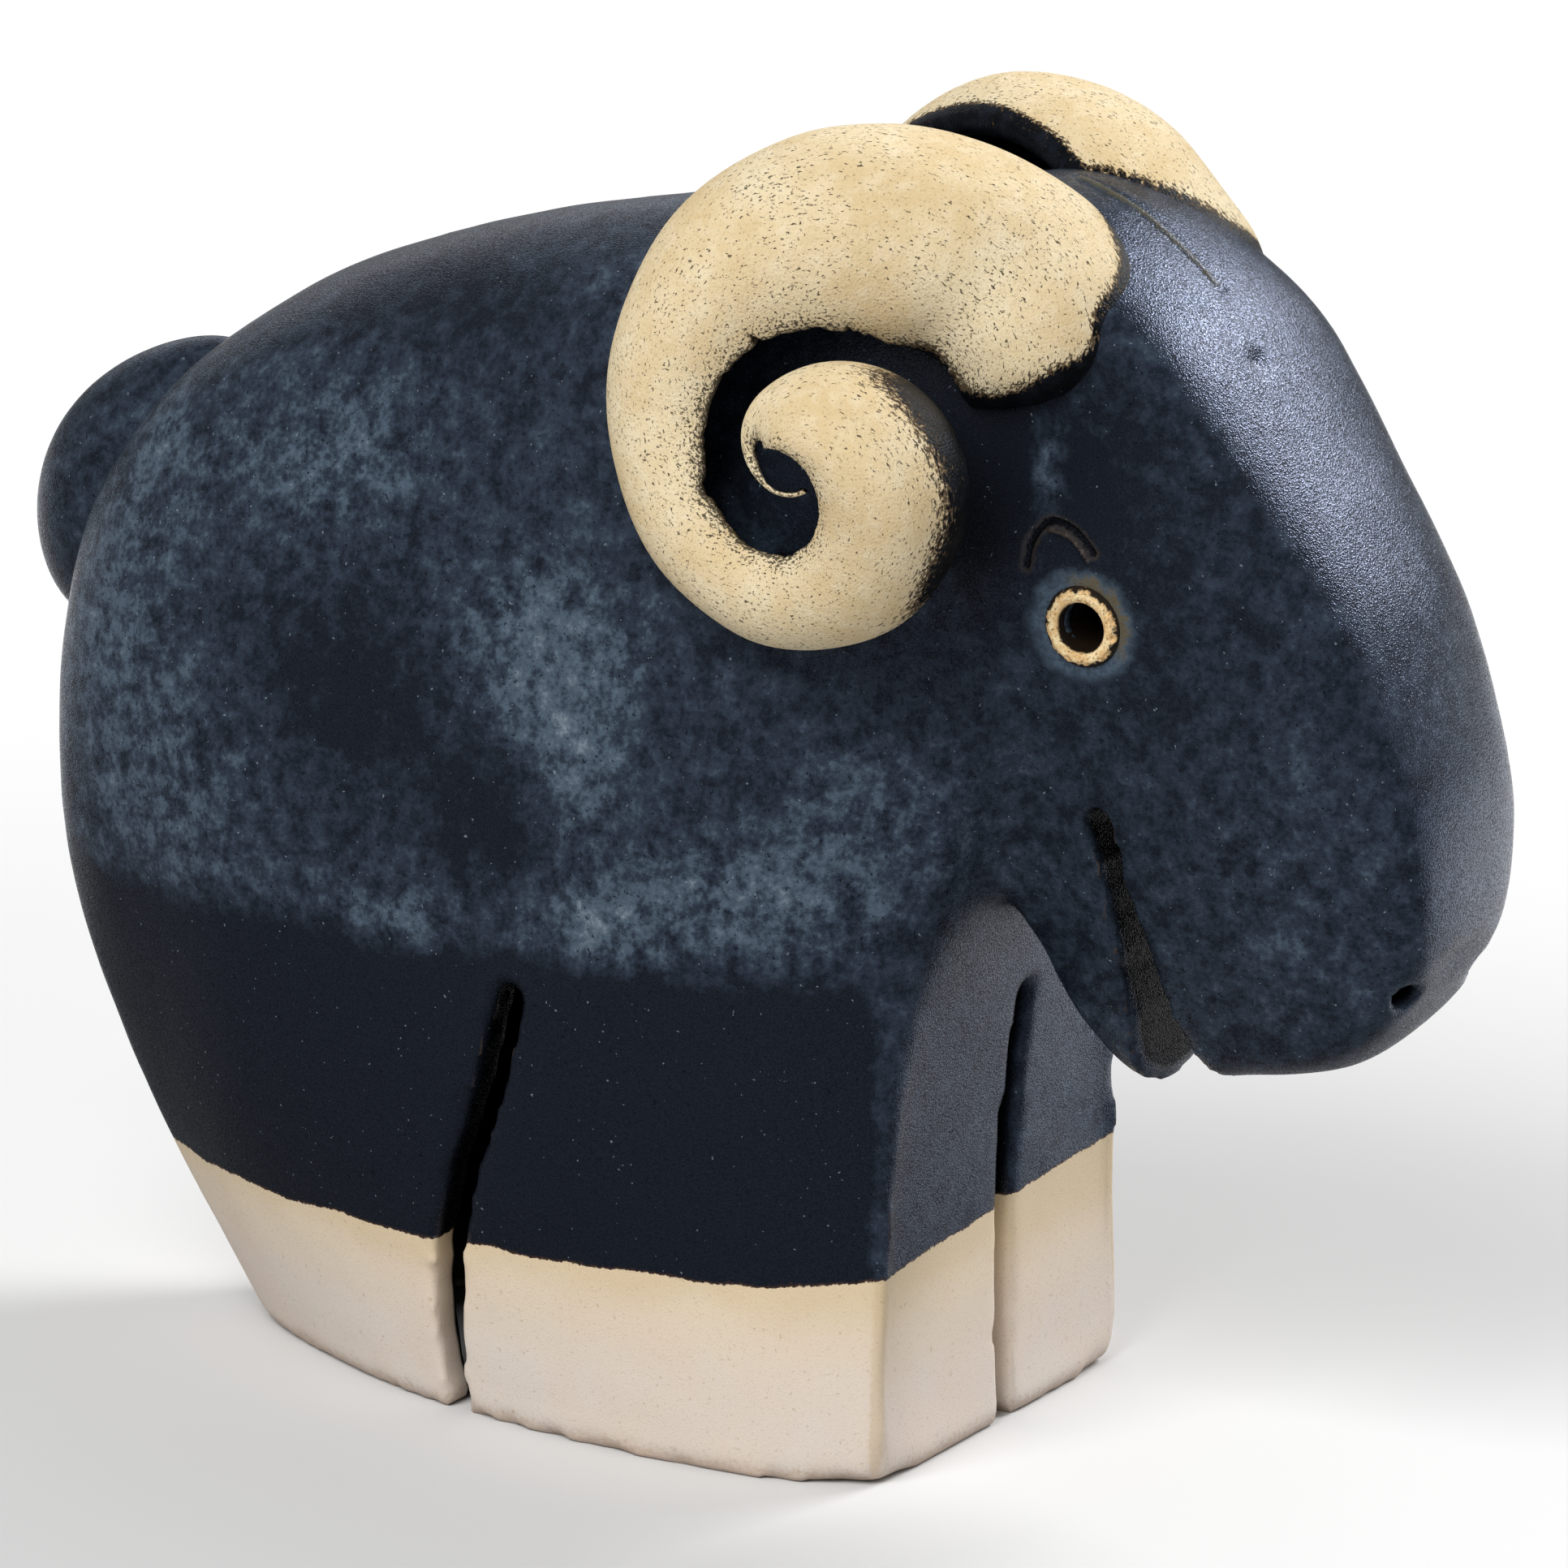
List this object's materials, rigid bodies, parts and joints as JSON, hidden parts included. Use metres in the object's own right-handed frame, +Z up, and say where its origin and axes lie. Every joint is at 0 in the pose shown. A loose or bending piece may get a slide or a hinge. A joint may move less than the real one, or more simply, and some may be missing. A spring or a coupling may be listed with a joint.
{
  "type": "ram figurine",
  "caption": "Stylised standing ram in slab-built stoneware, hollow and open below, with curled slab horns, an arched body, slits for legs and mouth, and a dark satin glaze.",
  "frame": {"origin": "on the surface the ram stands on, under the middle of its length and width", "axes": "+X the way the ram faces, +Y to its left, +Z up"},
  "size_m": [0.2757, 0.1346, 0.223],
  "materials": {
    "glazed_stoneware": "satin",
    "bare_buff_clay": "matte"
  },
  "bodies": {
    "root": {"ram": "glazed_stoneware"}
  },
  "joints": []
}
